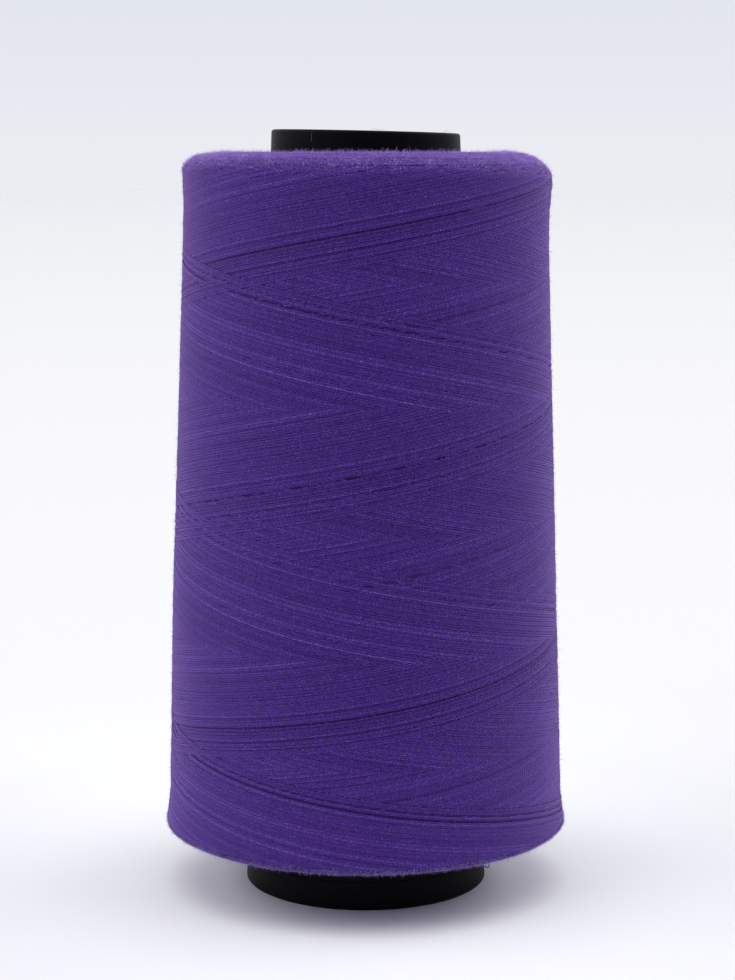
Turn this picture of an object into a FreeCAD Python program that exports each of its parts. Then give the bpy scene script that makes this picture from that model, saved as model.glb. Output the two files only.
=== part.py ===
"""Large spool of sewing thread: a moulded tapered tube carrying a cross-wound package.

Millimetres, +Z up the spool's axis.  The origin is the centre of the tube's base rim, so
the spool stands on Z = 0 with its nose upwards.  +X is the side to which the nose rim
slopes down.
"""
import FreeCAD, Part
import math
import os

V = FreeCAD.Vector

# ---- driving dimensions: the moulded tube ----
TUBE_HEIGHT = 135.0          # base rim to nose rim, on the axis
BASE_RADIUS = 21.85          # outside, at the base rim
NOSE_RADIUS = 16.60          # outside, at the nose rim
WALL = 1.6                   # thickness of the tapered wall
NOSE_CANT_DEG = 1.3          # the nose rim isn't quite square to the axis
RIM_ROUND = 0.5              # rounding of the outer edges of both rims
INNER_RIM_ROUND = 0.3        # rounding of the inner edges of both rims

# ---- driving dimensions: inside the tube, where it sits on a spindle ----
BASE_LIP = 1.85              # wall left round the base land, at the base rim
BASE_LAND_LENGTH = 8.0       # true cylinder inside the base
NOSE_LIP = 2.3               # wall left round the nose land, at the nose rim
NOSE_LAND_LENGTH = 7.0       # true cylinder inside the nose, below its lowest rim point
RIB_COUNT = 6                # centring ribs between the two lands
RIB_THICKNESS = 1.0
RIB_HEIGHT = 0.9             # how far a rib stands in from the wall at its lower end
RIB_START_GAP = 4.0          # from the base land up to the foot of the ribs
RIB_WALL_SINK = 0.4          # how far a rib is sunk into the wall that it grows from

# ---- driving dimensions: the tail groove round the base ----
GROOVE_CENTRE = 5.2          # height of the groove above the base rim
GROOVE_WIDTH = 0.5
GROOVE_DEPTH = 0.2

# ---- driving dimensions: the wound package ----
BASE_MARGIN = 10.85          # bare tube below the package
NOSE_MARGIN = 3.7            # bare tube above the package
LOW_BUILD = 14.29            # depth of thread on the tube at the foot of the straight taper
HIGH_BUILD = 15.04           # depth of thread at the head of the straight taper
FLARE_LENGTH = 6.0           # end stretches where the turns pile up at the reversals
LOW_FLARE = 0.45             # how far the bottom edge stands out of the straight taper
HIGH_FLARE = 0.35            # how far the top edge stands out of it
BOTTOM_EDGE_ROUND = 0.5      # the bottom edge is crisp
TOP_EDGE_ROUND = 3.2         # the top shoulder is soft
WINDING_GAP = 0.0            # the thread is wound tight on the tube

# ---- driving dimensions: the loose end of the thread ----
LOOSE_END_DIAMETER = 0.2     # about what a fine sewing thread measures
LOOSE_END_ANGLE_DEG = -52.9  # where it hangs out, round the axis from +X
LOOSE_END_INSET = 0.5        # from the package's edge in to where it comes out
LOOSE_END_DROP = 0.55        # straight stretch below the package
LOOSE_END_HOOK_RADIUS = 0.42 # the end curls back up in a small hook

# ---- worked out from the values above ----
TAPER = (BASE_RADIUS - NOSE_RADIUS) / TUBE_HEIGHT
BASE_LAND_RADIUS = BASE_RADIUS - BASE_LIP
NOSE_LAND_RADIUS = NOSE_RADIUS - NOSE_LIP
PACKAGE_BOTTOM = BASE_MARGIN
PACKAGE_TOP = TUBE_HEIGHT - NOSE_MARGIN
CANT = math.radians(NOSE_CANT_DEG)
NOSE_DROP = NOSE_RADIUS * math.tan(CANT)      # rim height lost on the low side
CUT_MARGIN = 5.0                               # how far cutting bodies run past the part
RIM_SLACK = 0.05                               # how near to a rim's plane its edges are looked for


def tube_radius(height):
    """Outside radius of the tube at a height above its base rim."""
    return BASE_RADIUS - TAPER * height


def revolve(points):
    """Solid of revolution about Z from a closed outline of (radius, height) points."""
    corners = [V(radius, 0, height) for radius, height in points]
    wire = Part.makePolygon(corners + corners[:1])
    return Part.Face(wire).revolve(V(0, 0, 0), V(0, 0, 1), 360)


def nose_plane_cutter():
    """Everything above the canted plane of the nose rim."""
    size = 4 * BASE_RADIUS
    block = Part.makeBox(size, size, size, V(-size / 2, -size / 2, 0))
    block.rotate(V(0, 0, 0), V(0, 1, 0), NOSE_CANT_DEG)
    block.translate(V(0, 0, TUBE_HEIGHT))
    return block


def tube_shell():
    """Tapered wall with its two inner lands, cut off at the canted nose plane."""
    over = TUBE_HEIGHT + CUT_MARGIN
    nose_land_foot = TUBE_HEIGHT - NOSE_DROP - NOSE_LAND_LENGTH
    outline = [
        (BASE_LAND_RADIUS, 0),
        (BASE_RADIUS, 0),
        (tube_radius(over), over),
        (NOSE_LAND_RADIUS, over),
        (NOSE_LAND_RADIUS, nose_land_foot),
        (tube_radius(nose_land_foot) - WALL, nose_land_foot),
        (tube_radius(BASE_LAND_LENGTH) - WALL, BASE_LAND_LENGTH),
        (BASE_LAND_RADIUS, BASE_LAND_LENGTH),
    ]
    return revolve(outline).cut(nose_plane_cutter())


def tail_groove():
    """Ring that is cut from the base to leave the shallow tail groove."""
    low = GROOVE_CENTRE - GROOVE_WIDTH / 2
    high = GROOVE_CENTRE + GROOVE_WIDTH / 2
    outline = [
        (tube_radius(low) - GROOVE_DEPTH, low),
        (tube_radius(low) + CUT_MARGIN, low),
        (tube_radius(high) + CUT_MARGIN, high),
        (tube_radius(high) - GROOVE_DEPTH, high),
    ]
    return revolve(outline)


def rim_edges(shell, high):
    """The circular edges of one rim, sorted from the inner one to the outer one."""
    level = TUBE_HEIGHT if high else 0.0
    slack = NOSE_DROP + RIM_SLACK if high else RIM_SLACK
    edges = [edge for edge in shell.Edges
             if abs(edge.CenterOfMass.z - level) < slack
             and edge.BoundBox.XLength > NOSE_RADIUS]
    return sorted(edges, key=lambda edge: edge.Length)


def round_rims(shell):
    """Round the inner and outer edge of the base rim and of the nose rim."""
    for high in (False, True):
        inner, outer = rim_edges(shell, high)
        shell = shell.makeFillet(RIM_ROUND, [outer])
        inner = rim_edges(shell, high)[0]
        shell = shell.makeFillet(INNER_RIM_ROUND, [inner])
    return shell


def centring_rib(angle_deg):
    """One slim rib on the inside wall, from above the base land up into the nose land."""
    foot = BASE_LAND_LENGTH + RIB_START_GAP
    head = TUBE_HEIGHT - NOSE_DROP - NOSE_LAND_LENGTH + RIB_WALL_SINK
    wall_foot = tube_radius(foot) - WALL
    wall_head = tube_radius(head) - WALL
    corners = [
        V(wall_foot + RIB_WALL_SINK, 0, foot),
        V(wall_foot - RIB_HEIGHT, 0, foot + RIB_HEIGHT),
        V(NOSE_LAND_RADIUS, 0, head),
        V(wall_head + RIB_WALL_SINK, 0, head),
    ]
    face = Part.Face(Part.makePolygon(corners + corners[:1]))
    rib = face.extrude(V(0, RIB_THICKNESS, 0))
    rib.translate(V(0, -RIB_THICKNESS / 2, 0))
    rib.rotate(V(0, 0, 0), V(0, 0, 1), angle_deg)
    return rib


def make_tube():
    """The whole moulded tube."""
    shell = round_rims(tube_shell().cut(tail_groove()))
    ribs = [centring_rib(360.0 * index / RIB_COUNT) for index in range(RIB_COUNT)]
    return shell.fuse(ribs).removeSplitter()


def straight_taper(height):
    """Outside radius of the package's straight taper at a height."""
    low = PACKAGE_BOTTOM + FLARE_LENGTH
    high = PACKAGE_TOP - FLARE_LENGTH
    low_radius = tube_radius(low) + LOW_BUILD
    high_radius = tube_radius(high) + HIGH_BUILD
    share = (height - low) / (high - low)
    return low_radius + (high_radius - low_radius) * share


def quarter_round(start, middle_angle_deg, centre, radius):
    """Arc in the X-Z plane from a start point, through an angle, a quarter turn long."""
    angle = math.radians(middle_angle_deg)
    end_angle = 2 * angle - math.atan2(start.z - centre.z, start.x - centre.x)
    middle = V(centre.x + radius * math.cos(angle), 0, centre.z + radius * math.sin(angle))
    end = V(centre.x + radius * math.cos(end_angle), 0, centre.z + radius * math.sin(end_angle))
    return Part.Arc(start, middle, end).toShape(), end


def make_winding():
    """The cross-wound package as one closed body that fills the space round the tube."""
    low_edge = straight_taper(PACKAGE_BOTTOM) + LOW_FLARE
    high_edge = straight_taper(PACKAGE_TOP - TOP_EDGE_ROUND) + HIGH_FLARE
    inner_low = V(tube_radius(PACKAGE_BOTTOM) + WINDING_GAP, 0, PACKAGE_BOTTOM)
    inner_high = V(tube_radius(PACKAGE_TOP) + WINDING_GAP, 0, PACKAGE_TOP)
    bottom_outer = V(low_edge - BOTTOM_EDGE_ROUND, 0, PACKAGE_BOTTOM)
    bottom_centre = V(bottom_outer.x, 0, PACKAGE_BOTTOM + BOTTOM_EDGE_ROUND)
    bottom_arc, low_side = quarter_round(bottom_outer, -45, bottom_centre, BOTTOM_EDGE_ROUND)
    taper_foot = V(straight_taper(PACKAGE_BOTTOM + FLARE_LENGTH), 0, PACKAGE_BOTTOM + FLARE_LENGTH)
    taper_head_height = PACKAGE_TOP - TOP_EDGE_ROUND - FLARE_LENGTH
    taper_head = V(straight_taper(taper_head_height), 0, taper_head_height)
    high_side = V(high_edge, 0, PACKAGE_TOP - TOP_EDGE_ROUND)
    top_centre = V(high_edge - TOP_EDGE_ROUND, 0, high_side.z)
    top_arc, top_outer = quarter_round(high_side, 45, top_centre, TOP_EDGE_ROUND)
    edges = [
        Part.makeLine(inner_low, bottom_outer),
        bottom_arc,
        Part.makeLine(low_side, taper_foot),
        Part.makeLine(taper_foot, taper_head),
        Part.makeLine(taper_head, high_side),
        top_arc,
        Part.makeLine(top_outer, inner_high),
        Part.makeLine(inner_high, inner_low),
    ]
    face = Part.Face(Part.Wire(edges))
    return face.revolve(V(0, 0, 0), V(0, 0, 1), 360)


def make_loose_end():
    """The cut end of the thread: a short drop out of the bottom face and a small hook."""
    angle = math.radians(LOOSE_END_ANGLE_DEG)
    across = V(-math.sin(angle), math.cos(angle), 0)
    exit_radius = straight_taper(PACKAGE_BOTTOM) + LOW_FLARE - BOTTOM_EDGE_ROUND - LOOSE_END_INSET
    root = V(exit_radius * math.cos(angle), exit_radius * math.sin(angle), PACKAGE_BOTTOM)
    drop_foot = root + V(0, 0, -LOOSE_END_DROP)
    hook_centre = drop_foot - across * LOOSE_END_HOOK_RADIUS
    hook_low = hook_centre + V(0, 0, -LOOSE_END_HOOK_RADIUS)
    hook_end = hook_centre - across * LOOSE_END_HOOK_RADIUS
    path = Part.Wire([
        Part.makeLine(root, drop_foot),
        Part.Arc(drop_foot, hook_low, hook_end).toShape(),
    ])
    section = Part.Wire([Part.makeCircle(LOOSE_END_DIAMETER / 2, root, V(0, 0, 1))])
    return path.makePipeShell([section], True, False)


def write(name, shape):
    """Write one sub-part and print its size."""
    shape.exportStep("parts/" + name + ".step")
    box = shape.BoundBox
    print("%-18s %8.2f x %8.2f x %8.2f mm, volume %10.2f mm3, solids %d, valid %s" % (
        name, box.XLength, box.YLength, box.ZLength, shape.Volume, len(shape.Solids), shape.isValid()))


os.makedirs("parts", exist_ok=True)
write("cone_tube", make_tube())
write("thread_winding", make_winding())
write("loose_thread_end", make_loose_end())
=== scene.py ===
# %% [markdown]
# # A large spool of sewing thread
#
# The real object is two things: a black tube, moulded in one piece, and a few kilometres
# of purple thread wound on it.  The CAD model already holds the tube, and a plain closed
# body where the thread is.  This notebook keeps the tube, gives it a better plastic, and
# replaces the plain body's surface with thread that is laid turn by turn, much as a winding
# machine lays it.

# %% Load the fixed frame
import math

import bpy
import numpy as np
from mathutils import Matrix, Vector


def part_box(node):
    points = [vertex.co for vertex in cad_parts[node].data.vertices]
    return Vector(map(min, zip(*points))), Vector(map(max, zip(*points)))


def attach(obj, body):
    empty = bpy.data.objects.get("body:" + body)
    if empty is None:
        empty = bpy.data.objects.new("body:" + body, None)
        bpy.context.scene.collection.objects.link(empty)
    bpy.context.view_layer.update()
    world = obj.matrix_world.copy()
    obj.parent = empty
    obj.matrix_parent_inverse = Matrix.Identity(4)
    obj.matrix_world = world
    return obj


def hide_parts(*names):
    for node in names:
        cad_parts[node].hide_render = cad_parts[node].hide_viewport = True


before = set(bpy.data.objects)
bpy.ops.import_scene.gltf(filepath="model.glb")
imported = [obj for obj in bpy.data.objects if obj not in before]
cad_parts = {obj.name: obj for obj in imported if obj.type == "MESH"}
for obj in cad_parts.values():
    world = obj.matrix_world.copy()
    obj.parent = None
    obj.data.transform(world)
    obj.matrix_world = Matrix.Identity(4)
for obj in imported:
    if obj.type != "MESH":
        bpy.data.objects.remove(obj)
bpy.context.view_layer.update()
bpy.ops.object.select_all(action="DESELECT")
MM = 0.001
tube_low, tube_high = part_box("cone_tube")
wound_low, wound_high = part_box("thread_winding")
print("tube height %.1f mm, package from %.1f to %.1f mm" % (
    (tube_high.z - tube_low.z) / MM, wound_low.z / MM, wound_high.z / MM))

# %% [markdown]
# ## The camera
#
# The camera comes first, because everything is judged through it.  A short telephoto lens
# stands about 41 cm from the spool's axis, just under the height of the nose rim, and looks
# down a little.  That is why the nose is seen edge-on while the base shows its round front.
# Depth of field stays off: the whole spool is sharp.

# %% Camera at the eye of the viewer
CAMERA_DISTANCE = 0.4147
CAMERA_HEIGHT = 0.1300
CAMERA_SIDE = 0.0003
CAMERA_DOWN_DEG = 8.06
LENS_MM = 85.55

camera_data = bpy.data.cameras.new("camera")
camera_data.lens = LENS_MM
camera_data.sensor_width = 36.0
camera = bpy.data.objects.new("camera", camera_data)
bpy.context.scene.collection.objects.link(camera)
camera.location = (CAMERA_SIDE, -CAMERA_DISTANCE, CAMERA_HEIGHT)
camera.rotation_euler = (math.radians(90 - CAMERA_DOWN_DEG), 0, 0)
bpy.context.scene.camera = camera
print("camera at", [round(v, 4) for v in camera.location])

# %% [markdown]
# ## Floor and light
#
# The spool stands on a pale seamless surface in a bright, even studio.  One wide disc is the
# floor.  Its paint is a painted pool of light: brightest round the spool, where it also lightens
# the spool's shadow, and fading with distance.  A big enough set of lamps could give that light
# too; paint is simpler to adjust.  The light is a soft sky: bright overhead and at the sides,
# dimmer where the viewer stands.  A dim front is what leaves the middle of the thread deep
# violet while its sides turn lighter.

# %% Small helpers for node trees
def add_node(tree, kind, **values):
    """Adds a node to a tree and sets its inputs (by socket name) or its own properties."""
    node = tree.nodes.new(kind)
    for name, value in values.items():
        socket = name.replace("_", " ")
        if socket in node.inputs:
            node.inputs[socket].default_value = value
        else:
            setattr(node, name, value)
    return node


def new_material(name):
    """A material with an empty node tree, its output and its Principled shader."""
    material = bpy.data.materials.new(name)
    material.use_nodes = True
    tree = material.node_tree
    tree.nodes.clear()
    output = add_node(tree, "ShaderNodeOutputMaterial")
    shader = add_node(tree, "ShaderNodeBsdfPrincipled")
    tree.links.new(shader.outputs["BSDF"], output.inputs["Surface"])
    return material, tree, shader


def fill_ramp(ramp, stops):
    """Gives a colour ramp its stops, each a place and a colour."""
    elements = ramp.color_ramp.elements
    while len(elements) < len(stops):
        elements.new(0.5)
    for element, (place, colour) in zip(elements, stops):
        element.position = place
        element.color = (*colour, 1)


# %% The floor disc
FLOOR_RADIUS = 12.0
FLOOR_FADE = 8.0           # metres from the spool to where its paint is darkest
# Painted pool of light: brightest right next to the spool, which also lightens its shadow there, and
# darker with distance.
FLOOR_LIGHT_POOL_STOPS = (
    (0.0875, (0.678, 0.687, 0.724)),
    (0.666, (0.718, 0.725, 0.753)),
    (0.8125, (0.746, 0.752, 0.779)),
    (0.893, (0.772, 0.772, 0.790)),
    (0.940, (0.785, 0.785, 0.805)),
    (0.9800, (0.796, 0.798, 0.824)),
    (0.9880, (0.830, 0.836, 0.874)),
    (0.9940, (0.950, 0.957, 1.000)),
)
bpy.ops.mesh.primitive_circle_add(vertices=96, radius=FLOOR_RADIUS, fill_type="NGON")
floor = bpy.context.active_object
floor.name = "studio_floor"
floor_paint, floor_tree, floor_shader = new_material("pale_floor_painted_light_pool")
floor_shader.inputs["Roughness"].default_value = 0.7
floor_shader.inputs["Specular IOR Level"].default_value = 0.1
floor_place = add_node(floor_tree, "ShaderNodeTexCoord")
floor_scale = add_node(floor_tree, "ShaderNodeMapping", Scale=(1 / FLOOR_FADE,) * 3)
floor_spread = add_node(floor_tree, "ShaderNodeTexGradient", gradient_type="SPHERICAL")
floor_ramp = add_node(floor_tree, "ShaderNodeValToRGB")
fill_ramp(floor_ramp, FLOOR_LIGHT_POOL_STOPS)
floor_tree.links.new(floor_place.outputs["Object"], floor_scale.inputs["Vector"])
floor_tree.links.new(floor_scale.outputs["Vector"], floor_spread.inputs["Vector"])
floor_tree.links.new(floor_spread.outputs["Fac"], floor_ramp.inputs["Fac"])
floor_tree.links.new(floor_ramp.outputs["Color"], floor_shader.inputs["Base Color"])
floor.data.materials.append(floor_paint)

# %% [markdown]
# The light comes from a studio that is drawn in the sky's own nodes: a soft panel overhead,
# one half-way up on each side, pale walls, and a dim room behind the viewer.  The viewer sees
# only a pale backdrop colour, whichever way the camera turns; it is painted a little darker
# upwards, a painted fall-off of light as on a curved sweep.  Lamps could give the same
# light, but they would show as sharp glints on the black plastic.

# %% The studio sky
OVERHEAD_LIGHT = 1.62      # a large softbox straight above
PANEL_LIGHT = 2.85         # two softboxes half-way up, to the left and to the right
WALL_LIGHT = 0.88          # pale walls to both sides and behind
DARK_SIDE_DEG = 9.0        # the dim opening between them lies a little to the right
ROOM_LIGHT = 0.05          # the dim room behind the viewer

world = bpy.data.worlds.new("studio_sky")
bpy.context.scene.world = world
world.use_nodes = True
sky = world.node_tree
sky.nodes.clear()


def sky_range(source, low, high, to_low=0.0, to_high=1.0):
    """A smooth rise of a value between two bounds."""
    node = add_node(sky, "ShaderNodeMapRange", interpolation_type="SMOOTHSTEP")
    for name, value in (("From Min", low), ("From Max", high), ("To Min", to_low), ("To Max", to_high)):
        node.inputs[name].default_value = value
    sky.links.new(source, node.inputs["Value"])
    return node.outputs["Result"]


def sky_math(operation, first, second):
    """One sum on two sockets, or on a socket and a number."""
    node = add_node(sky, "ShaderNodeMath", operation=operation)
    for socket, value in zip(node.inputs, (first, second)):
        if isinstance(value, float):
            socket.default_value = value
        else:
            sky.links.new(value, socket)
    return node.outputs["Value"]


sky_place = add_node(sky, "ShaderNodeTexCoord")
sky_parts = add_node(sky, "ShaderNodeSeparateXYZ")
sky_turn = add_node(sky, "ShaderNodeVectorRotate", rotation_type="Z_AXIS")
sky_turn.inputs["Angle"].default_value = math.radians(-DARK_SIDE_DEG)
sky.links.new(sky_place.outputs["Generated"], sky_turn.inputs["Vector"])
sky.links.new(sky_turn.outputs["Vector"], sky_parts.inputs["Vector"])
toward_back, upward = sky_parts.outputs["Y"], sky_parts.outputs["Z"]
overhead = sky_math("MULTIPLY", sky_range(upward, 0.70, 0.92), OVERHEAD_LIGHT)
beside = sky_range(toward_back, -0.70, -0.05)
sideways = sky_math("ABSOLUTE", sky_parts.outputs["X"], 0.0)
half_way_up = sky_math("MULTIPLY", sky_range(upward, 0.36, 0.46), sky_range(upward, 0.80, 0.70))
panel_place = sky_math("MULTIPLY", sky_range(sideways, 0.50, 0.68), half_way_up)
panels = sky_math("MULTIPLY", panel_place, PANEL_LIGHT)
wall_place = sky_math("MULTIPLY", beside, sky_range(upward, 0.75, 0.45))
walls = sky_math("MULTIPLY", wall_place, WALL_LIGHT)
studio = sky_math("ADD", sky_math("MAXIMUM", sky_math("MAXIMUM", overhead, panels), walls), ROOM_LIGHT)

# The backdrop's colour for the camera, painted darker upwards: a painted fall-off of light.
backdrop_painted_falloff = add_node(sky, "ShaderNodeValToRGB")
fill_ramp(backdrop_painted_falloff, ((0.0, (0.833, 0.848, 0.889)), (0.0335, (0.791, 0.815, 0.871)),
                        (0.0645, (0.767, 0.791, 0.847))))
sky.links.new(upward, backdrop_painted_falloff.inputs["Fac"])
light_path = add_node(sky, "ShaderNodeLightPath")
lighting = add_node(sky, "ShaderNodeBackground", Color=(1.0, 1.0, 1.0, 1))
backdrop_seen = add_node(sky, "ShaderNodeBackground")
pick = add_node(sky, "ShaderNodeMixShader")
sky_output = add_node(sky, "ShaderNodeOutputWorld")
sky.links.new(studio, lighting.inputs["Strength"])
sky.links.new(backdrop_painted_falloff.outputs["Color"], backdrop_seen.inputs["Color"])
sky.links.new(light_path.outputs["Is Camera Ray"], pick.inputs["Fac"])
sky.links.new(lighting.outputs["Background"], pick.inputs[1])
sky.links.new(backdrop_seen.outputs["Background"], pick.inputs[2])
sky.links.new(pick.outputs["Shader"], sky_output.inputs["Surface"])
bpy.context.scene.view_settings.view_transform = "Standard"
bpy.context.scene.view_settings.look = "None"

# %% [markdown]
# ## The moulded tube
#
# The CAD model already has the tube's shape: the taper, the rounded rims, the slightly
# canted nose, the groove, the two inner lands and the ribs.  So it stays.  What is missing
# is its surface.  Black polypropylene from a spark-eroded mould is a satin with a
# very fine grain, faint draw marks along the axis, and some pale scuffs and dust.

# %% Satin black plastic
def black_plastic():
    """Satin black moulded plastic with fine grain, draw marks, scuffs and a little dust."""
    material, tree, shader = new_material("black_moulded_plastic")
    shader.inputs["IOR"].default_value = 1.49
    shader.inputs["Specular IOR Level"].default_value = 0.05
    place = add_node(tree, "ShaderNodeTexCoord")
    grain = add_node(tree, "ShaderNodeTexNoise", Scale=2600.0, Detail=3.0, Roughness=0.6)
    stretch = add_node(tree, "ShaderNodeMapping", Scale=(900, 900, 40))
    draw = add_node(tree, "ShaderNodeTexNoise", Scale=1.0, Detail=2.0)
    cloud = add_node(tree, "ShaderNodeTexNoise", Scale=70.0, Detail=4.0, Roughness=0.65)
    scuff = add_node(tree, "ShaderNodeValToRGB")
    fill_ramp(scuff, ((0.62, (0.0046, 0.0040, 0.0054)), (0.80, (0.012, 0.012, 0.013))))
    gloss = add_node(tree, "ShaderNodeMapRange")
    for name, value in (("From Min", 0.3), ("From Max", 0.75), ("To Min", 0.40), ("To Max", 0.52)):
        gloss.inputs[name].default_value = value
    heights = add_node(tree, "ShaderNodeMath", operation="MULTIPLY_ADD")
    heights.inputs[1].default_value = 0.6
    bump = add_node(tree, "ShaderNodeBump", Strength=0.22, Distance=0.00006)
    tree.links.new(place.outputs["Object"], grain.inputs["Vector"])
    tree.links.new(place.outputs["Object"], stretch.inputs["Vector"])
    tree.links.new(stretch.outputs["Vector"], draw.inputs["Vector"])
    tree.links.new(place.outputs["Object"], cloud.inputs["Vector"])
    tree.links.new(cloud.outputs["Fac"], scuff.inputs["Fac"])
    tree.links.new(scuff.outputs["Color"], shader.inputs["Base Color"])
    tree.links.new(cloud.outputs["Fac"], gloss.inputs["Value"])
    tree.links.new(gloss.outputs["Result"], shader.inputs["Roughness"])
    tree.links.new(draw.outputs["Fac"], heights.inputs[0])
    tree.links.new(grain.outputs["Fac"], heights.inputs[2])
    tree.links.new(heights.outputs["Value"], bump.inputs["Height"])
    tree.links.new(bump.outputs["Normal"], shader.inputs["Normal"])
    return material


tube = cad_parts["cone_tube"]
tube.data.materials.clear()
tube.data.materials.append(black_plastic())

# %% [markdown]
# ## The outline of the package
#
# Thread needs a surface to lie on.  The plain CAD body gives it: its corners, read from the
# frame, are walked from the tube along the bottom face, up the side, over the soft top
# shoulder and in along the top face.  The distance walked is called `walk` below.  Every
# point of the package is then a pair: an angle round the axis and a walk along this outline.

# %% Read the outline from the CAD body
def read_outline():
    """Radius and height of the package's outline, evenly spaced, from the bottom face up."""
    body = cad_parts["thread_winding"].data
    points = np.zeros(len(body.vertices) * 3, np.float32)
    body.vertices.foreach_get("co", points)
    points = points.reshape(-1, 3) / MM
    radius = np.hypot(points[:, 0], points[:, 1])
    corners = np.unique(np.round(np.stack([radius, points[:, 2]], 1), 2), axis=0)
    low, high = corners[:, 1].min(), corners[:, 1].max()
    bottom_inner = corners[corners[:, 1] < low + 0.01].min(axis=0)
    top_inner = corners[corners[:, 1] > high - 0.01].min(axis=0)
    middle_point = np.array([(bottom_inner[0] + top_inner[0]) / 2, (low + high) / 2])
    outer = corners[corners[:, 0] > bottom_inner[0] + 1.0]
    angle = np.arctan2(outer[:, 1] - middle_point[1], outer[:, 0] - middle_point[0])
    outer = outer[np.argsort(angle)]
    return np.vstack([bottom_inner, outer, top_inner])


corners = read_outline()
print("outline: %d corners" % len(corners))

# %% [markdown]
# The real package isn't the same all round.  On one side the turns at the shoulder have
# slumped: the edge is rounder there and the thread below it stands out.  On the other side
# the shoulder is tighter and the waist is a little fuller.  So two outlines are made from the
# CAD outline, and blended round the axis.

# %% The tight side and the slack side
SLACK_SIDE_DEG = 0.0       # round the axis from +X
SLACK_SHOULDER = (5.0, 5.6)    # millimetres down and in that its rounding reaches
TIGHT_SHOULDER = (3.3, 3.5)
DROOP = 1.1                # how far the top face droops towards the shoulder
DROOP_WIDE = 10.0          # and over what width
SLACK_SWELL = (0.60, 5.5, 5.5)     # how far it stands out, how deep below the top, how tall
TIGHT_SWELL = (0.40, 80.0, 34.0)
NEAR_TOP = 4.0             # millimetres below the top in which the shoulder's radius is read
SOFTEN = 9                 # points over which a corner of the outline is softened
STEP = 0.06                # millimetres of walk between two rows of the height map


def reshape_outline(points, shoulder, swell):
    """The same outline with a rounded, drooping shoulder and a swelling in its side."""
    radius, height = points.T
    deep, wide = shoulder
    top = height.max()
    shoulder_radius = radius[height > top - NEAR_TOP].max()
    side = np.interp(top - deep, (height.min(), top), (radius.max(), shoulder_radius))
    inward = np.clip((radius - side + wide) / wide, 0, 1)
    droop = DROOP * np.clip((radius - side + DROOP_WIDE) / DROOP_WIDE, 0, 1) ** 2
    ceiling = top - droop - (deep - DROOP) * (1 - np.sqrt(1 - inward ** 2))
    height = np.minimum(height, ceiling)
    out, below_top, tall = swell
    bulge = out * np.exp(-((top - below_top - height) / tall) ** 2)
    return np.stack([radius + bulge * inward, height], 1)


def even_rows(points, count):
    """Points evenly spaced along an outline, softened a little so that no corner is sharp."""
    walk = np.concatenate([[0], np.cumsum(np.hypot(*np.diff(points, axis=0).T))])
    even = np.linspace(0, walk[-1], count)
    line = np.stack([np.interp(even, walk, points[:, 0]), np.interp(even, walk, points[:, 1])])
    kernel = np.ones(SOFTEN) / SOFTEN
    padded = np.pad(line, ((0, 0), (SOFTEN // 2, SOFTEN // 2)), mode="edge")
    return np.array([np.convolve(row, kernel, mode="valid") for row in padded])


WALK = float(np.hypot(*np.diff(corners, axis=0).T).sum())
rows = int(WALK / STEP)
walk_rows = np.arange(rows) * STEP
fine_corners = even_rows(corners, rows).T
outlines = np.stack([even_rows(reshape_outline(fine_corners, shoulder, swell), rows)
                     for shoulder, swell in ((TIGHT_SHOULDER, TIGHT_SWELL),
                                             (SLACK_SHOULDER, SLACK_SWELL))])
SIDE_FOOT = float(walk_rows[np.argmax(outlines[1, 0])])
SHOULDER = float(walk_rows[np.argmax(fine_corners[:, 1] > wound_high.z / MM - TIGHT_SHOULDER[0])])
print("walk %.1f mm, side from %.1f to %.1f" % (WALK, SIDE_FOOT, SHOULDER))

# %% [markdown]
# ## How the machine wound it
#
# The tube turns while a guide carries the thread up and down.  Here going up takes a little
# over three turns and coming down a little under three, numbers chosen by trial for how the
# crossings look, so after one trip up and down the thread comes back almost, but not quite,
# to where it was.  Each trip therefore lies right beside
# the one before.  New rising turns creep downwards and new falling turns creep upwards, and
# where the newest of each kind stopped, its edge shows as a crisp dark line: the thread there
# is pulled into a groove, and its colour is darkened as well, painted shade for that groove.
#
# That pattern can't be painted convincingly, but it can be wound: a height map of the
# surface is kept, and each turn is laid on top of what is there.  What ends up hidden is
# left out of the mesh.  Real thread this fine would need far more turns than a mesh can hold,
# so each thread here is nearly twice as wide as a real one.

# %% The winder's settings
COLUMNS = 480              # steps of angle round the spool
THREAD_WIDE = 0.36         # millimetres, wider than the real 0.2 so that fewer turns cover it
THREAD_HIGH = 0.19
UP_TURNS = 3.067           # turns of the tube while the guide goes up
DOWN_TURNS = 2.940         # and while it comes down
LOW_TURN_ANGLE = 38.0      # where the newest thread turns round at the bottom, in degrees
TRIP_GAP = 0.37            # millimetres that a trip creeps beyond the one before
ODD_GAPS = 0.04            # share of the trips that leave a wider gap
COVERS = 2                 # how often the trips cover the whole package
END_SLOWING = 0.135        # the guide runs slower near both ends
SKEW = 0.024               # and a little later on its way up than halfway
TURN_SCATTER = 1.3         # millimetres by which the upper turn-rounds miss each other
TURN_REACH = 0.6           # millimetres over which a stroke is rounded off where it turns
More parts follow.
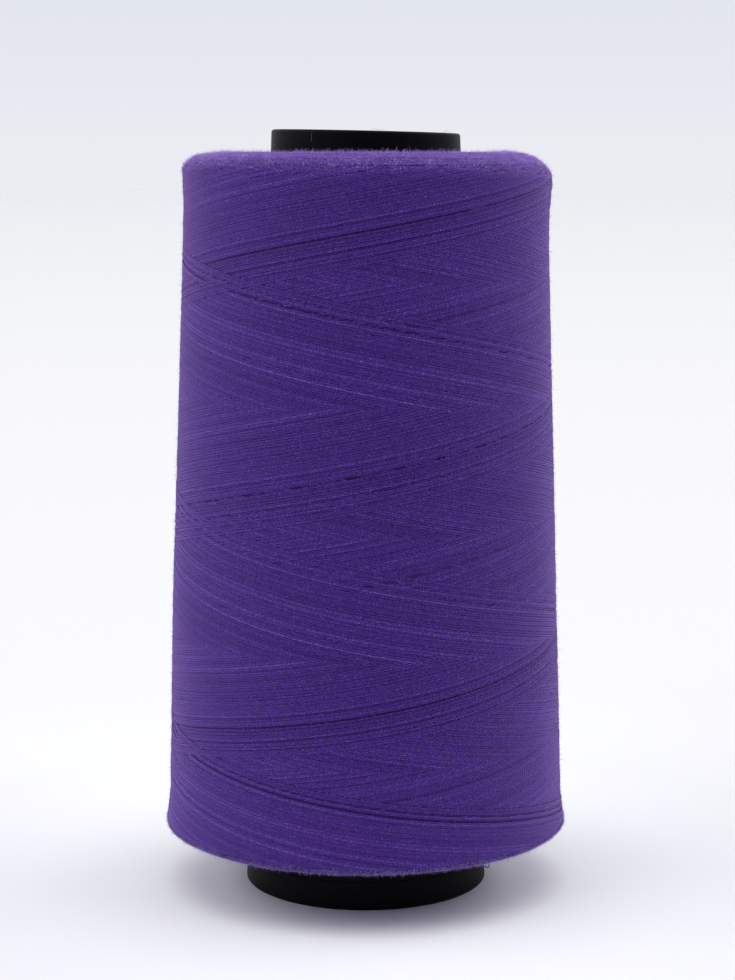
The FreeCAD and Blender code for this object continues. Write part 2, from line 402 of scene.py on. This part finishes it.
# For a few of the newest strokes: how many trips back, and how far it is pulled in.  A pulled-in stroke
# is also painted darker, through PULL_SHADE below.
NEWEST_RISING = {7: -0.11, 14: -0.24, 19: -0.08}
NEWEST_FALLING = {0: -0.20, 4: -0.14, 7: -0.19}
PULLED_IN = 0.03           # share of the older strokes that are pulled in too
PULL_DEPTHS = (-0.12, -0.04)       # millimetres, how far those are pulled in
LIFT_SCATTER = 0.008       # millimetres by which the other strokes vary in height
LOW_SCATTER = 0.25         # millimetres by which the lower turn-rounds miss each other
FOOT_GAP = 0.1             # millimetres above the bottom edge where the strokes start
TURN_ABOVE = 1.6           # millimetres over the shoulder where they turn round
GAP_SCATTER = 0.05         # millimetres by which the gaps between trips vary
GAP_LIMITS = (0.7, 1.3)    # least and most, as a share of the usual gap
WIDE_GAPS = (0.02, 0.10)   # millimetres that a wider gap is wider
dice = np.random.default_rng(7)


def guide_place(share):
    """Where the guide is, from 0 at the bottom to 1 at the top, for a share of the stroke."""
    slowed = share - END_SLOWING * np.sin(2 * np.pi * share) / (2 * np.pi)
    return slowed - SKEW * np.sin(np.pi * share ** 1.5)


def turn_round(walk, low, high):
    """Rounds a stroke off where the guide turns round."""
    for edge, side in ((high, 1), (low, -1)):
        short = side * (edge - walk)
        bent = TURN_REACH / 2 + short * np.abs(short) / (2 * TURN_REACH)
        walk = edge - side * np.where(short < TURN_REACH, bent, short)
    return walk


# %% The height map and the thread that is laid on it
height_map = np.zeros((rows, COLUMNS))
owner_map = np.full((rows, COLUMNS), -1, np.int32)
BAND = np.arange(-3, 4)
CUSHION = np.arange(-8, 9)  # rows that a thread presses on: the package is soft
CROWN = THREAD_HIGH / 2 * np.sqrt(np.clip(1 - (BAND * STEP / (THREAD_WIDE / 2)) ** 2, 0, 1))
CUT_IN = 2.5               # a thread that is pulled in pushes its neighbours aside
PULL = 9                   # columns over which a tight thread bridges small dips
SEAT_RISE = 0.1            # how high a thread's middle sits, in thread heights
OVERLAP = 0.4              # how deep it may lie and still show, in thread heights
laid, pulled_in = [], []


def lay(columns, walk, extra=0.0, pull=0.0):
    """Lays one thread on the height map and remembers where its middle runs."""
    row = np.rint(walk / STEP).astype(int)[:, None]
    column = (columns % COLUMNS)[:, None]
    seat = height_map[np.clip(row + CUSHION, 0, rows - 1), column].mean(axis=1)
    if len(seat) > 2 * PULL:
        padded = np.pad(seat, PULL // 2, mode="edge")
        seat = np.convolve(padded, np.ones(PULL) / PULL, mode="valid")
    centre = seat + THREAD_HIGH * SEAT_RISE + extra + pull
    band = np.clip(row + BAND, 0, rows - 1)
    top = centre[:, None] + CROWN
    on_top = top > height_map[band, column] - THREAD_HIGH * OVERLAP + pull * CUT_IN
    height_map[band, column] = np.where(on_top, top, height_map[band, column])
    owner_map[band, column] = np.where(on_top, len(laid), owner_map[band, column])
    laid.append((columns, walk, centre))
    pulled_in.append(pull)


def trip_gaps(lead):
    """Distance that each trip creeps beyond the one before, in millimetres."""
    count = int(COVERS * lead / TRIP_GAP)
    least, most = GAP_LIMITS
    gaps = np.clip(dice.normal(TRIP_GAP, GAP_SCATTER, count), TRIP_GAP * least, TRIP_GAP * most)
    gaps += (dice.random(count) < ODD_GAPS) * dice.uniform(*WIDE_GAPS, count)
    return gaps * (COVERS * lead / gaps.sum())


# %% Wind the package
ARC_SPACING = 0.45         # arcs start this share of their length apart
ARC_DIVE = 0.45            # millimetres that an arc dives at its ends


def end_face_arcs(first_walk, last_walk, pitch, arc_columns):
    """Older turn-rounds that show on an end face: short arcs that rise and dive again."""
    direction = 1 if last_walk > first_walk else -1
    for walk in np.arange(first_walk, last_walk, direction * pitch):
        start = dice.integers(0, COLUMNS)
        pieces = int(COLUMNS / (arc_columns * ARC_SPACING))
        for index in range(pieces):
            length = int(arc_columns * dice.uniform(0.7, 1.3))
            columns = start + int(index * COLUMNS / pieces) + np.arange(length)
            middle_share = np.linspace(-1, 1, length)
            drift = dice.uniform(-0.5, 0.5) * middle_share + dice.normal(0, 0.05)
            dive = -ARC_DIVE * middle_share ** 4 + dice.uniform(-0.05, 0.05)
            lay(columns, np.clip(walk + drift * pitch * 2, 0.1, WALK - 0.1), extra=dive)


def wind():
    """Winds all trips, oldest first."""
    low, high = SIDE_FOOT + FOOT_GAP, SHOULDER + TURN_ABOVE
    lead = (high - low) / 3
    gaps = trip_gaps(lead)
    behind = gaps.sum() - np.cumsum(gaps)          # how far each trip lags the newest
    up, down = np.arange(int(UP_TURNS * COLUMNS)), np.arange(int(DOWN_TURNS * COLUMNS))
    up_walk = low + (high - low) * guide_place(up / len(up))
    down_walk = low + (high - low) * guide_place(1 - down / len(down))
    for trip, lag in enumerate(behind):
        start = int(LOW_TURN_ANGLE / 360 * COLUMNS) - int(round(lag / lead * COLUMNS))
        low_now = low + abs(dice.normal(0, LOW_SCATTER))
        high_now = high + dice.normal(0, TURN_SCATTER)
        chance, pull = dice.random(2), dice.uniform(*PULL_DEPTHS, 2)
        rising, falling = np.where(chance < PULLED_IN, pull, dice.normal(0, LIFT_SCATTER, 2))
        back = len(gaps) - 1 - trip
        lay(start + up, turn_round(up_walk, low_now, high_now),
            pull=NEWEST_RISING.get(back, rising))
        lay(start + len(up) + down, turn_round(down_walk, low_now, high_now),
            pull=NEWEST_FALLING.get(back, falling))
    return len(gaps)


end_face_arcs(0.3, SIDE_FOOT - 0.2, 0.34, 110)
bottom_arcs = len(laid)
end_face_arcs(WALK - 0.3, SHOULDER - 1.0, 0.24, 90)
all_arcs = len(laid)
trips = wind()
print("laid %d threads; map height %.2f to %.2f mm" % (len(laid), height_map.min(), height_map.max()))

# %% [markdown]
# ## From height map to mesh
#
# Only thread that shows becomes geometry.  For each laid thread the steps where it still
# owns the top of the map are found, the run is lengthened a little at both ends so that it
# dips under its neighbours, and a half-round strip of faces follows it.  A strip has an
# open underside, which nobody can see, because a closed bed lies just beneath.

# %% Places and directions on the outline
def on_outline(columns, walk):
    """Point and outward direction for places on the package, in millimetres."""
    angle = columns * (2 * np.pi / COLUMNS)
    slack = 0.5 + 0.5 * np.cos(angle - math.radians(SLACK_SIDE_DEG))
    share = np.stack([1 - slack, slack])
    radius, height, step_r, step_z = (
        sum(share[i] * np.interp(walk, walk_rows, line[i]) for i in (0, 1))
        for line in (outlines[:, 0], outlines[:, 1], outline_steps[:, 0], outline_steps[:, 1]))
    size = np.hypot(step_r, step_z)
    cosine, sine = np.cos(angle), np.sin(angle)
    point = np.stack([radius * cosine, radius * sine, height], 1)
    outward = np.stack([step_z * cosine, step_z * sine, -step_r], 1) / size[:, None]
    return point, outward


outline_steps = np.gradient(outlines, axis=2)

# %% Find the runs that show
STRIDE = 4                 # columns between two rings of a strip
DEEPEST, HIGHEST = -0.28, 0.10   # millimetres; a soft package evens out more than that
LEVEL_ROWS = 31            # rows over which the package's general level is averaged
LENGTHEN = 5               # columns that a run is widened by, so that its ends dip under
SHORTEST = 4               # columns; a shorter run is left out
ring_mean = np.pad(height_map.mean(axis=1), LEVEL_ROWS // 2, mode="edge")
row_level = np.convolve(ring_mean, np.ones(LEVEL_ROWS) / LEVEL_ROWS, mode="valid")
relief = height_map - row_level[:, None]
print("relief: spread %.3f mm, from %.2f to %.2f" % (relief.std(), relief.min(), relief.max()))


def shown_runs():
    """For each stretch of thread that shows: its columns, walk and height above the outline."""
    runs = []
    for name, (columns, walk, centre) in enumerate(laid):
        band = np.clip(np.rint(walk / STEP).astype(int)[:, None] + BAND, 0, rows - 1)
        seen = (owner_map[band, (columns % COLUMNS)[:, None]] == name).any(axis=1)
        if not seen.any():
            continue
        wide = np.convolve(seen, np.ones(LENGTHEN), mode="same") > 0
        edges = np.flatnonzero(np.diff(np.concatenate([[0], wide.astype(int), [0]])))
        for first, last in zip(edges[::2], edges[1::2]):
            if last - first < SHORTEST:
                continue
            pick = np.unique(np.append(np.arange(first, last, STRIDE), last - 1))
            runs.append((name, columns[pick], walk[pick], centre[pick]))
    return runs


runs = shown_runs()
turns = sum(len(run[1]) for run in runs) * STRIDE / COLUMNS
print("%d runs show, about %.0f turns" % (len(runs), turns))

# %% Build strips of half-round thread
SECTION = np.radians([-12, 55, 125, 192])
# A thread that is pulled in is painted darker: painted shade for the shade of its neighbours.
PULL_SHADE = 34.0          # a thread that is pulled in lies in the shade of its neighbours
TWIST_SHIFT = 0.31         # millimetres a column, so that neighbours' ribs don't line up
thread_tone_and_painted_shade = dice.normal(0, 1, len(laid)) + PULL_SHADE * np.array(pulled_in)


def strips_mesh(name, chosen):
    """One mesh of half-round strips with a UV map that runs along each thread."""
    points, faces, along_uv, across_uv, shades = [], [], [], [], []
    count = 0
    for thread, columns, walk, centre in chosen:
        base, outward = on_outline(columns.astype(float), walk)
        depth = np.clip(centre - np.interp(walk, walk_rows, row_level), DEEPEST, HIGHEST)
        path = base + outward * depth[:, None]
        tangent = np.gradient(path, axis=0)
        tangent /= np.linalg.norm(tangent, axis=1)[:, None]
        side = np.cross(outward, tangent)
        side /= np.linalg.norm(side, axis=1)[:, None]
        travel = np.concatenate([[0], np.cumsum(np.linalg.norm(np.diff(path, axis=0), axis=1))])
        travel += float(columns[0]) * TWIST_SHIFT
        ring = [path + side * (THREAD_WIDE / 2 * np.cos(a)) + outward * (THREAD_HIGH / 2 * np.sin(a))
                for a in SECTION]
        rings = np.stack(ring, 1).reshape(-1, 3)
        points.append(rings)
        length, corners_round = len(path), len(SECTION)
        index = count + np.arange(length * corners_round).reshape(length, corners_round)
        quads = np.stack([index[:-1, :-1], index[:-1, 1:], index[1:, 1:], index[1:, :-1]], -1)
        faces.append(quads.reshape(-1, 4))
        along_uv.append(np.repeat(travel, corners_round))
        across_uv.append(np.tile(np.linspace(0, 1, corners_round), length))
        shades.append(np.full(length * corners_round, thread_tone_and_painted_shade[thread]))
        count += length * corners_round
    points = np.concatenate(points) * MM
    faces = np.concatenate(faces)
    mesh = bpy.data.meshes.new(name)
    mesh.vertices.add(len(points))
    mesh.vertices.foreach_set("co", points.astype(np.float32).ravel())
    mesh.loops.add(faces.size)
    mesh.loops.foreach_set("vertex_index", faces.astype(np.int32).ravel())
    mesh.polygons.add(len(faces))
    mesh.polygons.foreach_set("loop_start", np.arange(0, faces.size, 4, dtype=np.int32))
    mesh.polygons.foreach_set("use_smooth", np.ones(len(faces), bool))
    uv = np.stack([np.concatenate(along_uv), np.concatenate(across_uv)], 1)[faces.ravel()]
    layer = mesh.uv_layers.new(name="along_thread")
    layer.data.foreach_set("uv", uv.astype(np.float32).ravel())
    shade = mesh.attributes.new("shade", "FLOAT", "POINT")
    shade.data.foreach_set("value", np.concatenate(shades).astype(np.float32))
    mesh.update(calc_edges=True)
    mesh.validate()
    piece = bpy.data.objects.new(name, mesh)
    bpy.context.scene.collection.objects.link(piece)
    print("%s: %d strips, %d triangles" % (name, len(chosen), 2 * len(faces)))
    return piece


# %% [markdown]
# ## The purple thread's finish
#
# Spun polyester is matt, with a soft sheen from the fibre ends that stand off it.  Its plies
# are twisted, so each thread has a fine slanting rib.  The colour is deep violet and varies
# a little from place to place and from thread to thread.  Threads that are pulled in are painted
# darker still: painted shade for the groove they lie in.

# %% Thread material
# SHADED_VIOLET is where painted shade takes pulled-in threads; the other stops are the thread's own
# tones.
SHADED_VIOLET = (0.011, 0.002, 0.062)
DEEP_VIOLET = (0.031, 0.006, 0.132)
VIOLET = (0.056, 0.014, 0.221)
LIGHT_VIOLET = (0.104, 0.039, 0.350)
DUST = (0.280, 0.200, 0.560)


def thread_material(name, with_twist=True):
    """Deep violet spun thread: blotchy fibres, a tone per thread, painted shade on pulled-in threads,
    twist ribs along the strip, lilac sheen.
    """
    material, tree, shader = new_material(name)
    shader.inputs["Roughness"].default_value = 0.62
    shader.inputs["Specular IOR Level"].default_value = 0.22
    shader.inputs["Sheen Weight"].default_value = 0.85
    shader.inputs["Sheen Roughness"].default_value = 0.34
    shader.inputs["Sheen Tint"].default_value = (0.58, 0.34, 1.0, 1)
    place = add_node(tree, "ShaderNodeTexCoord")
    fibres = add_node(tree, "ShaderNodeTexNoise", Scale=5200.0, Detail=2.0, Roughness=0.7)
    colour = add_node(tree, "ShaderNodeValToRGB")
    fill_ramp(colour, ((0.14, SHADED_VIOLET), (0.36, DEEP_VIOLET), (0.50, VIOLET),
                       (0.64, LIGHT_VIOLET), (0.80, DUST)))
    tree.links.new(place.outputs["Object"], fibres.inputs["Vector"])
    if not with_twist:
        tree.links.new(fibres.outputs["Fac"], colour.inputs["Fac"])
        tree.links.new(colour.outputs["Color"], shader.inputs["Base Color"])
        return material
    shade = add_node(tree, "ShaderNodeAttribute", attribute_name="shade")
    # A random tone per thread plus painted shade on pulled-in threads moves the colour ramp.
    mottle_and_painted_shade = add_node(tree, "ShaderNodeMath", operation="MULTIPLY_ADD")
    mottle_and_painted_shade.inputs[1].default_value = 0.028
    tree.links.new(shade.outputs["Fac"], mottle_and_painted_shade.inputs[0])
    tree.links.new(fibres.outputs["Fac"], mottle_and_painted_shade.inputs[2])
    tree.links.new(mottle_and_painted_shade.outputs["Value"], colour.inputs["Fac"])
    tree.links.new(colour.outputs["Color"], shader.inputs["Base Color"])
    run = add_node(tree, "ShaderNodeUVMap", uv_map="along_thread")
    slant = add_node(tree, "ShaderNodeMapping", Scale=(2.4, 0.9, 1.0))
    ribs = add_node(tree, "ShaderNodeTexWave", wave_type="BANDS",
                    bands_direction="DIAGONAL", Scale=0.42, Distortion=1.6, Detail=2.0)
    bump = add_node(tree, "ShaderNodeBump", Strength=0.8, Distance=0.00005)
    tree.links.new(run.outputs["UV"], slant.inputs["Vector"])
    tree.links.new(slant.outputs["Vector"], ribs.inputs["Vector"])
    tree.links.new(ribs.outputs["Fac"], bump.inputs["Height"])
    tree.links.new(bump.outputs["Normal"], shader.inputs["Normal"])
    return material


purple = thread_material("purple_spun_thread")
middle_trip = all_arcs + trips + trips % 2
late_trip = (middle_trip + len(laid)) // 2
groups = {
    "thread_bottom_face": (0, bottom_arcs, 1, 0),
    "thread_top_face": (bottom_arcs, all_arcs, 1, 0),
    "older_rising_turns": (all_arcs, middle_trip, 2, 0),
    "older_falling_turns": (all_arcs, middle_trip, 2, 1),
    "newer_rising_turns": (middle_trip, late_trip, 2, 0),
    "newer_falling_turns": (middle_trip, late_trip, 2, 1),
    "newest_rising_turns": (late_trip, len(laid), 2, 0),
    "newest_falling_turns": (late_trip, len(laid), 2, 1),
}
for piece_name, (first, last, every, offset) in groups.items():
    chosen = [run for run in runs if first <= run[0] < last and (run[0] - all_arcs) % every == offset]
    piece = strips_mesh(piece_name, chosen)
    piece.data.materials.append(purple)
    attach(piece, "root")

# %% [markdown]
# Beneath the threads that show lies the rest of the package.  It is a flat grid that is
# rolled round the spool: across the grid is the angle and along it is the walk from the
# bottom face over the side to the top face.  Its two long edges meet inside the tube's wall,
# and the seam is merged, so it is a closed ring.

# %% The bed under the top layer
BED_COLUMNS = 120
BED_STRIDE = 10            # rows of the height map for one row of the bed
BED_DROP = 0.4             # how far it lies below the lowest thread, in thread heights
TUCK = 0.3                 # millimetres that it reaches into the tube's wall


def bed_depth():
    """Height of the bed over the outline: just under the lowest thread of each patch."""
    per_column = COLUMNS // BED_COLUMNS
    even = height_map[: rows // BED_STRIDE * BED_STRIDE]
    patches = even.reshape(-1, BED_STRIDE, BED_COLUMNS, per_column).min(axis=(1, 3))
    level = row_level[: len(even)].reshape(-1, BED_STRIDE).mean(axis=1)
    return np.clip(patches - level[:, None], DEEPEST, HIGHEST) - THREAD_HIGH * BED_DROP


depth = bed_depth()
bpy.ops.object.select_all(action="DESELECT")
bpy.ops.mesh.primitive_grid_add(x_subdivisions=BED_COLUMNS, y_subdivisions=len(depth) + 2, size=2)
bed_piece = bpy.context.active_object
bed_piece.name = "thread_bed"
bed_piece.data.name = "thread_bed"
flat = np.zeros(len(bed_piece.data.vertices) * 3, np.float32)
bed_piece.data.vertices.foreach_get("co", flat)
flat = flat.reshape(-1, 3)
bed_column = np.rint((flat[:, 0] + 1) / 2 * BED_COLUMNS).astype(int) % BED_COLUMNS
bed_row = np.rint((flat[:, 1] + 1) / 2 * (len(depth) + 2)).astype(int)
on_face = np.clip(bed_row - 1, 0, len(depth) - 1)
face_walk = on_face * WALK / (len(depth) - 1)
spot, outward = on_outline(bed_column * (COLUMNS / BED_COLUMNS), face_walk)
rolled = spot + outward * depth[on_face, bed_column][:, None]
tucked = (bed_row == 0) | (bed_row > len(depth))
inner_walk = np.where(bed_row > len(depth) + 1, 0.0, face_walk)
inner_spot, _ = on_outline(bed_column * (COLUMNS / BED_COLUMNS), inner_walk)
inner_radius = np.linalg.norm(inner_spot[:, :2], axis=1)
inner_spot[:, :2] *= ((inner_radius - TUCK) / inner_radius)[:, None]
rolled[tucked] = inner_spot[tucked]
bed_piece.data.vertices.foreach_set("co", (rolled * MM).astype(np.float32).ravel())
bpy.ops.object.mode_set(mode="EDIT")
bpy.ops.mesh.select_all(action="SELECT")
bpy.ops.mesh.remove_doubles(threshold=0.01 * MM)
bpy.ops.mesh.normals_make_consistent(inside=False)
bpy.ops.object.mode_set(mode="OBJECT")
bpy.ops.object.shade_smooth()
bed_piece.data.materials.append(thread_material("purple_thread_beneath", with_twist=False))
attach(bed_piece, "root")
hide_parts("thread_winding")
print("bed: %d faces" % len(bed_piece.data.polygons))

# %% [markdown]
# ## Fuzz
#
# Spun thread is made of short fibres, and thousands of their ends stand off the package.
# They soften its outline.  The fibres on the shoulder and at the foot are given paler colours
# than the rest, painted light for the light they catch, and that is what lights up the
# shoulder.  A particle system could grow them, but its hairs are curves that a mesh file can't
# hold.  So each fibre is a tiny tapered tube of three sides, bent once, and the fibres of one
# place are one mesh.

# %% Grow the fuzz
FIBRES = 19500             # in one mesh
FIBRE_THICK = 0.017        # millimetres, half the width at the root
FIBRE_LONG = 0.62          # the usual length
FIBRE_LEAN = 0.9           # how far they lean, against how far they stand out
FIBRE_SINK = 0.08          # how deep they are rooted
FIBRE_WAIST = 0.8          # width at the bend, as a share of the width at the root
fuzz_dice = np.random.default_rng(23)


def unit(vectors):
    """The same directions, one unit long."""
    return vectors / np.linalg.norm(vectors, axis=1)[:, None]


def fuzz_mesh(name, first_walk, last_walk, longer, crowding):
    """Bent, tapered, three-sided fibres over part of the package, perhaps crowded to one end."""
    walk = first_walk + (last_walk - first_walk) * fuzz_dice.random(FIBRES) ** crowding
    root, outward = on_outline(fuzz_dice.uniform(0, COLUMNS, FIBRES), walk)
    root -= outward * FIBRE_SINK
    spread = np.clip(fuzz_dice.lognormal(0, 0.45, FIBRES), 0.3, 2.6)
    long = FIBRE_LONG * longer * spread[:, None]
    lean = unit(fuzz_dice.normal(0, 1, (FIBRES, 3))) * FIBRE_LEAN
    swerve = unit(fuzz_dice.normal(0, 1, (FIBRES, 3))) * FIBRE_LEAN
    start = unit(outward + lean)
    middle = root + start * long * 0.5
    tip = middle + unit(start + swerve) * long * 0.5
    side = unit(np.cross(start, unit(swerve)))
    other = np.cross(start, side)
    rings = []
    for centre, thick in ((root, FIBRE_THICK), (middle, FIBRE_THICK * FIBRE_WAIST)):
        for corner in np.radians([0, 120, 240]):
            rings.append(centre + (side * np.cos(corner) + other * np.sin(corner)) * thick)
    points = np.stack(rings + [tip], 1).reshape(-1, 3) * MM
    quads = np.array([(0, 1, 4, 3), (1, 2, 5, 4), (2, 0, 3, 5)])
    caps = np.array([(3, 4, 6), (4, 5, 6), (5, 3, 6)])
    foot = np.array([(2, 1, 0)])
    first = np.arange(FIBRES)[:, None, None] * len(rings + [tip])
    faces = (quads + first).reshape(-1, 4).tolist()
    faces += (caps + first).reshape(-1, 3).tolist()
    faces += (foot + first).reshape(-1, 3).tolist()
    mesh = bpy.data.meshes.new(name)
    mesh.from_pydata(points.tolist(), [], faces)
    mesh.polygons.foreach_set("use_smooth", np.ones(len(mesh.polygons), bool))
    mesh.update()
    print("%s: %d fibres, %d faces" % (name, FIBRES, len(mesh.polygons)))
    return mesh


def fibre_material(name, deep, pale):
    """Loose fibres, a ramp between a deep and a pale tone.  Violet fibres are paler than the thread:
    painted light for the light that catches and passes through them.
    """
    material, tree, shader = new_material(name)
    shader.inputs["Roughness"].default_value = 0.5
    shader.inputs["Sheen Weight"].default_value = 0.5
    shader.inputs["Sheen Tint"].default_value = (0.7, 0.55, 1.0, 1)
    place = add_node(tree, "ShaderNodeTexCoord")
    noise = add_node(tree, "ShaderNodeTexNoise", Scale=300.0, Detail=2.0)
    colour = add_node(tree, "ShaderNodeValToRGB")
    fill_ramp(colour, ((0.35, deep), (0.65, pale)))
    tree.links.new(place.outputs["Object"], noise.inputs["Vector"])
    tree.links.new(noise.outputs["Fac"], colour.inputs["Fac"])
    tree.links.new(colour.outputs["Color"], shader.inputs["Base Color"])
    return material


# The shoulder and foot fibres are painted much paler than the side fibres: painted light for the
# overhead light on the shoulder and the light passing through the fringe at the foot.
side_fibres = fibre_material("violet_fibres", (0.070, 0.022, 0.26), (0.16, 0.075, 0.46))
edge_fibres_painted_lit = fibre_material("violet_fibres_painted_lit", (0.40, 0.19, 0.86), (0.62, 0.40, 1.00))
foot_fibres_painted_lit = fibre_material("lilac_fibres_painted_lit", (0.26, 0.15, 0.60), (0.46, 0.34, 0.86))
fuzz_places = {
    "shoulder_edge_fuzz": (SHOULDER, SHOULDER + 5.0, 0.7, 0.5, edge_fibres_painted_lit),
    "shoulder_fuzz": (SHOULDER + 1.0, SHOULDER + 10.0, 0.9, 0.7, edge_fibres_painted_lit),
    "upper_fuzz": (WALK / 2, SHOULDER + 1.0, 0.8, 1.0, side_fibres),
    "lower_fuzz": (SIDE_FOOT, WALK / 2, 0.8, 1.0, side_fibres),
    "foot_fuzz": (SIDE_FOOT - 2.0, SIDE_FOOT + 0.3, 0.65, 0.6, foot_fibres_painted_lit),
}
for piece_name, (*place, finish) in fuzz_places.items():
    fuzz = bpy.data.objects.new(piece_name, fuzz_mesh(piece_name, *place))
    bpy.context.scene.collection.objects.link(fuzz)
    fuzz.data.materials.append(finish)
    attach(fuzz, "root")

# %% [markdown]
# A few fibres have strayed onto the black tube's nose and rim, where they show up well.  Each is a curve
# with a round bevel, shaped by its handles and then turned into a mesh.

# %% Lint on the tube
NOSE_RADIUS = 16.95        # millimetres, where the lint lies, just off the nose
LINT_THICK = 0.022         # millimetres, half its width


def lint_fibre(name, angle_deg, height, lean, long):
    """A curled fibre that clings to the tube's nose or rim."""
    bpy.ops.object.select_all(action="DESELECT")
    bpy.ops.curve.primitive_bezier_curve_add()
    fibre = bpy.context.active_object
    fibre.name = name
    points = fibre.data.splines[0].bezier_points
    across = long * math.sin(lean) / NOSE_RADIUS
    for point, side in zip(points, (-0.5, 0.5)):
        angle = math.radians(angle_deg) + side * across
        place = (NOSE_RADIUS * math.cos(angle), NOSE_RADIUS * math.sin(angle),
                 height + side * long * math.cos(lean))
        curl = (-math.sin(angle) * long * 0.4, math.cos(angle) * long * 0.4, long * 0.25)
        point.handle_left_type = point.handle_right_type = "FREE"
        point.co = [value * MM for value in place]
        point.handle_left = [(value - bend) * MM for value, bend in zip(place, curl)]
        point.handle_right = [(value + bend) * MM for value, bend in zip(place, curl)]
    fibre.data.bevel_depth = LINT_THICK * MM
    fibre.data.bevel_resolution = 1
    fibre.data.use_fill_caps = True
    bpy.ops.object.convert(target="MESH")
    fibre = bpy.context.active_object
    fibre.data.materials.clear()
    fibre.data.materials.append(lint_finish)
    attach(fibre, "root")


lint_finish = fibre_material("grey_lilac_lint", (0.16, 0.14, 0.20), (0.30, 0.28, 0.36))
lint_fibre("lint_on_the_nose_front", -123.0, 133.9, 0.25, 1.4)
lint_fibre("lint_on_the_rim_right", -36.0, 134.9, 1.2, 1.3)
lint_fibre("lint_on_the_rim_front", -83.0, 135.15, 1.5, 2.2)
lint_fibre("lint_on_the_nose_left", -160.0, 132.6, 0.8, 0.8)
lint_fibre("lint_on_the_nose_back", 75.0, 132.8, 0.5, 1.2)

# %% The loose end gets the thread's finish
loose_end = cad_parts["loose_thread_end"]
loose_end.data.materials.clear()
loose_end.data.materials.append(bed_piece.data.materials[0])
